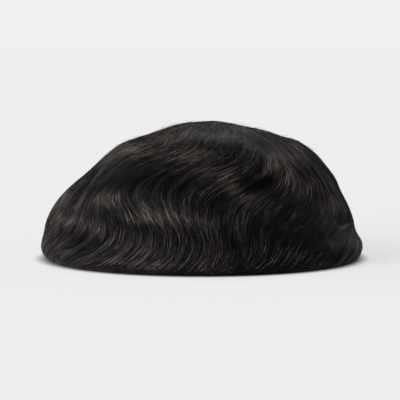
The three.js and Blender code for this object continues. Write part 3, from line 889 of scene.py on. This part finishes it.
def loose_wisps(material):
    """The few wisps that lie across the flow, each a bundle along one bent line."""
    rows = np.repeat(LOOSE, STRANDS_IN_LOOSE, 0)
    count = len(rows)
    bends = np.radians(rows[:, 0:6:2]), rows[:, 1:6:2]
    spread, shade = rows[:, 6:].T
    low = np.clip(random.normal(0.08, 0.1, count), 0, 0.5)[:, None]
    high = np.clip(random.normal(0.95, 0.1, count), 0.6, 1.1)[:, None]
    t = low + (high - low) * np.linspace(0, 1, STRAND_POINTS)
    shares = (1 - t) ** 2, 2 * t * (1 - t), t**2
    azimuths, downs = (sum(shares[k] * bend[:, k, None] for k in range(3)) for bend in bends)
    off = random.normal(0, 1, count) * spread
    downs = downs + (off * random.uniform(-1, 1, count) / HAIR_LENGTH)[:, None]
    strands = straight(count) | {
        "length": np.full(count, 30.0),
        "height": random.uniform(0.2, 0.9, count),
        "width": STRAND_WIDTH * random.uniform(0.7, 1.1, count),
        "aside": off,
        "closing": np.full(count, -1.0),
        "sway": random.normal(0, 0.2, count),
        "phase": random.uniform(0, TURN, count),
        "stray": random.normal(0, 0.6, count),
        "roll": random.normal(0, 0.4, count),
        "tone": shade + random.normal(0, 0.12, count),
    }
    ribbons("hair_loose_wisps", strands, material, paths=(azimuths, downs))


def flyaways(material):
    """Short fine hairs that stand off the crown and the top line."""
    azimuth, down = even_places(FLYAWAY_TRIES)
    chosen = down < random.uniform(*FLYAWAY_REACH, len(down))
    azimuth, down = azimuth[chosen][:FLYAWAYS], down[chosen][:FLYAWAYS]
    count = len(azimuth)
    strands = straight(count) | {
        "azimuth": azimuth,
        "down": down,
        "length": random.uniform(5, 16, count),
        "height": random.uniform(0.0, 0.5, count),
        "lift": random.exponential(1.1, count).clip(0.3, 3.4),
        "width": random.uniform(0.12, 0.2, count),
        "sway": random.normal(0, 0.8, count),
        "phase": random.uniform(0, TURN, count),
        "stray": random.normal(0, 4.0, count),
        "roll": random.normal(0, 1.2, count),
        "tone": random.uniform(0.3, 0.8, count),
    }
    ribbons("hair_flyaways", strands, material, root_sink=FLYAWAY_SINK, points_each=FLYAWAY_POINTS)


def base_net():
    """The cap's dark net: paler threads, which stand up a little, round darker holes."""
    material = bpy.data.materials.new("base_net")
    material.use_nodes = True
    nodes, links = material.node_tree.nodes, material.node_tree.links
    shader = nodes["Principled BSDF"]
    shader.inputs["Roughness"].default_value = 0.85
    place = nodes.new("ShaderNodeTexCoord")
    cells = nodes.new("ShaderNodeTexVoronoi")
    cells.feature = "DISTANCE_TO_EDGE"
    cells.inputs["Scale"].default_value = NET_CELLS
    links.new(place.outputs["Object"], cells.inputs["Vector"])
    ramp = nodes.new("ShaderNodeValToRGB")
    ramp.color_ramp.elements[0].color = (*NET_THREAD, 1)
    ramp.color_ramp.elements[1].color = (*NET_HOLE, 1)
    ramp.color_ramp.elements[1].position = THREAD_SHARE
    links.new(cells.outputs["Distance"], ramp.inputs["Fac"])
    links.new(ramp.outputs["Color"], shader.inputs["Base Color"])
    bump = nodes.new("ShaderNodeBump")
    bump.invert = True
    bump.inputs["Distance"].default_value = NET_RELIEF
    links.new(cells.outputs["Distance"], bump.inputs["Height"])
    links.new(bump.outputs["Normal"], shader.inputs["Normal"])
    return material


def add_camera():
    """The photograph's view, from the side and a little above."""
    camera = bpy.data.cameras.new("camera")
    camera.sensor_width = SENSOR
    camera.lens = SENSOR * CAMERA_DISTANCE / FRAME_WIDTH
    holder = bpy.data.objects.new("camera", camera)
    bpy.context.scene.collection.objects.link(holder)
    up_by = (FLOOR_ROW - PHOTO_PIXELS / 2) * MM_PER_PIXEL * MM
    right_by = (PHOTO_PIXELS / 2 - CENTRE_COLUMN) * MM_PER_PIXEL * MM
    sight = Vector((0, math.cos(CAMERA_ELEVATION), -math.sin(CAMERA_ELEVATION)))
    up = Vector((0, math.sin(CAMERA_ELEVATION), math.cos(CAMERA_ELEVATION)))
    target = up * up_by + Vector((right_by, 0, 0))
    holder.location = target - sight * CAMERA_DISTANCE
    holder.rotation_euler = (math.pi / 2 - CAMERA_ELEVATION, 0, 0)
    camera.clip_end = CLIP_END
    bpy.context.scene.camera = holder


def add_light(name, azimuth, elevation, width, strength, colour):
    """Light from one direction, softened to a width in the sky."""
    light = bpy.data.lights.new(name, "SUN")
    light.angle = math.radians(width)
    light.energy = strength
    light.color = colour
    holder = bpy.data.objects.new(name, light)
    bpy.context.scene.collection.objects.link(holder)
    across, up = math.radians(azimuth), math.radians(elevation)
    source = Vector((math.sin(across) * math.cos(up), -math.cos(across) * math.cos(up), math.sin(up)))
    holder.rotation_euler = (-source).to_track_quat("-Z", "Y").to_euler()
    holder.location = source


def backdrop_material():
    """The floor's matt grey, with painted light glowing beyond the hairpiece and none near it, which leaves a
    painted shadow round it.
    """
    backdrop = bpy.data.materials.new("backdrop")
    backdrop.use_nodes = True
    nodes, links = backdrop.node_tree.nodes, backdrop.node_tree.links
    shader = nodes["Principled BSDF"]
    shader.inputs["Base Color"].default_value = (FLOOR_SHADE, FLOOR_SHADE, FLOOR_SHADE, 1)
    shader.inputs["Roughness"].default_value = 1.0
    shader.inputs["Specular IOR Level"].default_value = 0.0
    shader.inputs["Emission Color"].default_value = (1.0, 1.0, 1.0, 1)
    place = nodes.new("ShaderNodeTexCoord")
    shares = nodes.new("ShaderNodeMapping")
    shares.inputs["Scale"].default_value = (2 / (HAIR_LENGTH * MM), 2 / (HAIR_WIDTH * MM), 0)
    reach = nodes.new("ShaderNodeVectorMath")
    reach.operation = "LENGTH"
    glow = nodes.new("ShaderNodeMapRange")
    glow.interpolation_type = "SMOOTHSTEP"
    glow.inputs["From Min"].default_value, glow.inputs["From Max"].default_value = GLOW_REACH
    glow.inputs["To Max"].default_value = FLOOR_GLOW
    links.new(place.outputs["Object"], shares.inputs["Vector"])
    links.new(shares.outputs["Vector"], reach.inputs[0])
    links.new(reach.outputs["Value"], glow.inputs["Value"])
    links.new(glow.outputs["Result"], shader.inputs["Emission Strength"])
    return backdrop


def add_studio():
    """A pale floor that runs out to a surround of its own brightness, so no horizon shows."""
    ways = (-1, -1), (1, -1), (1, 1), (-1, 1)
    mesh = bpy.data.meshes.new("floor")
    mesh.from_pydata([(x * FLOOR_REACH, y * FLOOR_REACH, 0) for x, y in ways], [], [(0, 1, 2, 3)])
    mesh.materials.append(backdrop_material())
    floor = bpy.data.objects.new("floor", mesh)
    bpy.context.scene.collection.objects.link(floor)

    scene = bpy.context.scene
    scene.view_settings.view_transform = "Standard"
    world = bpy.data.worlds.new("studio")
    world.use_nodes = True
    background = world.node_tree.nodes["Background"]
    background.inputs["Color"].default_value = (1.0, 1.0, 1.0, 1)
    background.inputs["Strength"].default_value = SURROUND
    scene.world = world
    for name, light in LIGHTS.items():
        add_light(name, *light)


hair = hair_material()
undercoat(hair)
for layer_number in range(1, LAYERS + 1):
    strand_layer(layer_number, hair)
crown_strands(hair)
loose_wisps(hair)
flyaways(hair)
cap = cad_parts["base_cap"]
cap.data.materials.clear()
cap.data.materials.append(base_net())
add_camera()
add_studio()
